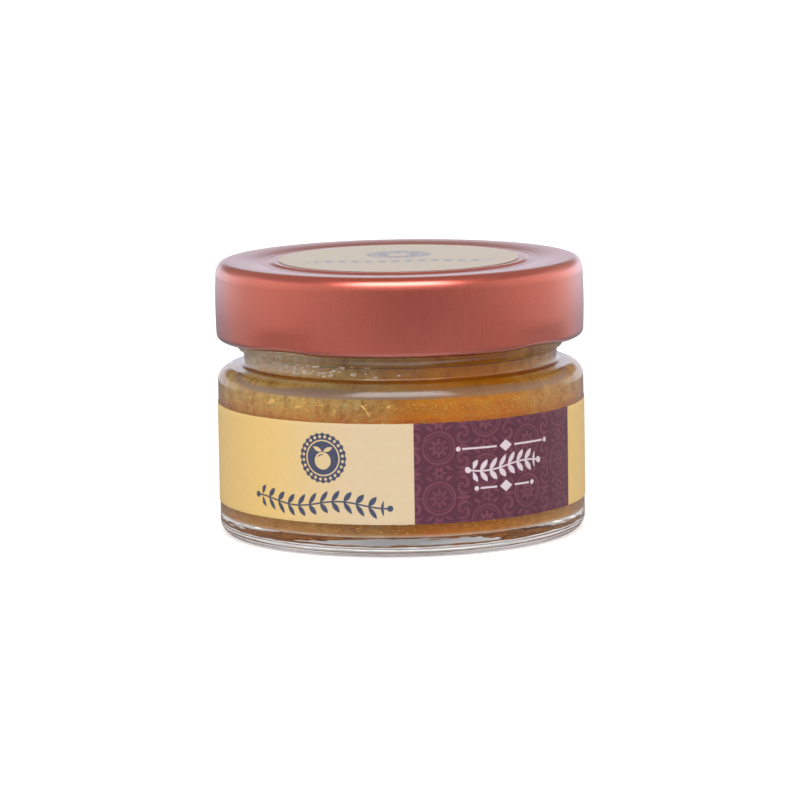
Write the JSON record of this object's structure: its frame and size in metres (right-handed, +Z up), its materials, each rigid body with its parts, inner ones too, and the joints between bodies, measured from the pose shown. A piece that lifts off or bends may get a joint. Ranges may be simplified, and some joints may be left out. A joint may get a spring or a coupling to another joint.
{
  "type": "marmalade jar",
  "caption": "Squat round glass jar filled with amber marmalade, shut by a satin copper-red twist-off metal lid, with a cream and plum paper wrap label and a round paper sticker on the lid.",
  "frame": {"origin": "middle of the base, on the surface that the jar stands on", "axes": "+Z up along the jar's axis, the label's front faces -Y"},
  "size_m": [0.067, 0.067, 0.0496],
  "materials": {
    "glass": "gloss",
    "marmalade": "satin",
    "lid_lacquer": "satin",
    "label_paper": "matte",
    "sticker_paper": "satin"
  },
  "bodies": {
    "root": {"glass_jar": "glass", "marmalade": "marmalade", "lid": "lid_lacquer", "wrap_label": "label_paper", "lid_sticker": "sticker_paper"}
  },
  "joints": []
}
